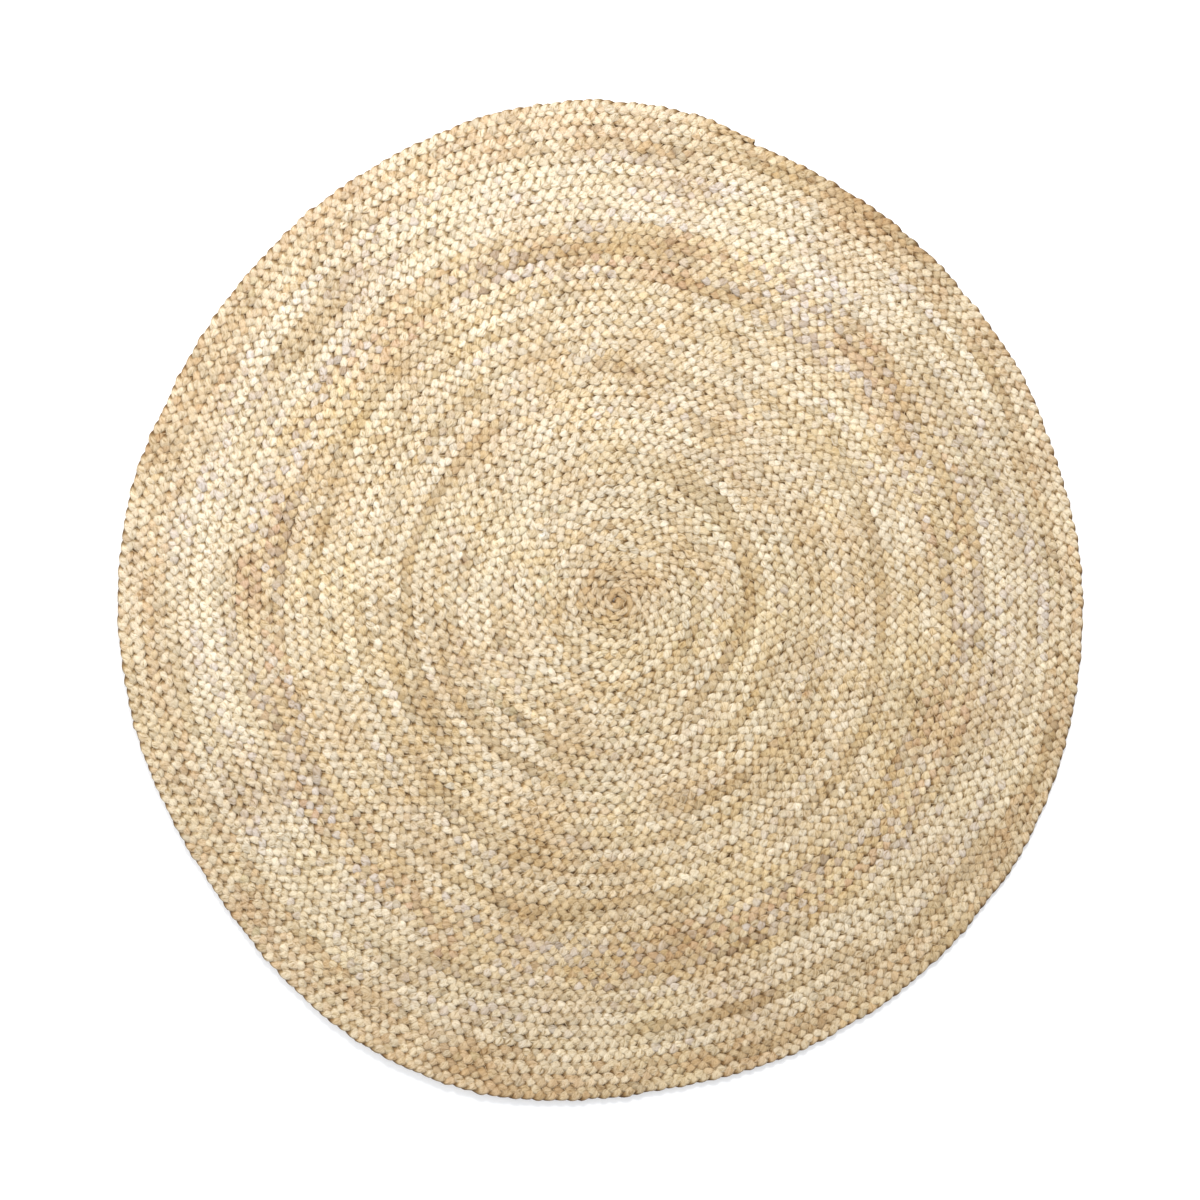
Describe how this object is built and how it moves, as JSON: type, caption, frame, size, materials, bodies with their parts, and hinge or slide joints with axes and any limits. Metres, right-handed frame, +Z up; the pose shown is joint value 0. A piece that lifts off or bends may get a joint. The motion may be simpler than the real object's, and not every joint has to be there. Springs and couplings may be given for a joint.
{
  "type": "area rug",
  "caption": "Round area rug made of a flat plaited jute braid, coiled in a spiral from its eye and sewn edge to edge.",
  "frame": {"origin": "on the underside, below the middle of the rug's outline; the coil's eye lies 16.6 mm to +X and 2.4 mm to -Y of it", "axes": "+Z up through the thickness, out of the upper side; +X to the right and +Y away from someone standing at the rug's front edge; the braid's outer end is at +Y, a little to +X"},
  "size_m": [0.9881, 1.0221, 0.008],
  "materials": {
    "jute_lot_1": "matt raw jute fibre, pale straw",
    "jute_lot_2": "matt raw jute fibre, golden straw",
    "jute_lot_3": "matt raw jute fibre, golden straw",
    "jute_lot_4": "matt raw jute fibre, brown-grey straw",
    "jute_lot_5": "matt raw jute fibre, pale grey straw",
    "jute_lot_6": "matt raw jute fibre, golden tan",
    "sewing_thread": "matt spun thread",
    "whipping_twine": "matt jute twine"
  },
  "bodies": {
    "root": {"strand_a_length_1": "jute_lot_1", "strand_a_length_2": "jute_lot_2", "strand_a_length_3": "jute_lot_3", "strand_a_length_4": "jute_lot_4", "strand_a_length_5": "jute_lot_5", "strand_a_length_6": "jute_lot_6", "strand_b_length_1": "jute_lot_1", "strand_b_length_2": "jute_lot_2", "strand_b_length_3": "jute_lot_3", "strand_b_length_4": "jute_lot_4", "strand_b_length_5": "jute_lot_5", "strand_b_length_6": "jute_lot_6", "strand_c_length_1": "jute_lot_1", "strand_c_length_2": "jute_lot_2", "strand_c_length_3": "jute_lot_3", "strand_c_length_4": "jute_lot_4", "strand_c_length_5": "jute_lot_5", "strand_c_length_6": "jute_lot_6", "needle_thread": "sewing_thread", "bobbin_thread": "sewing_thread", "start_whipping": "whipping_twine", "end_whipping": "whipping_twine"}
  },
  "joints": []
}
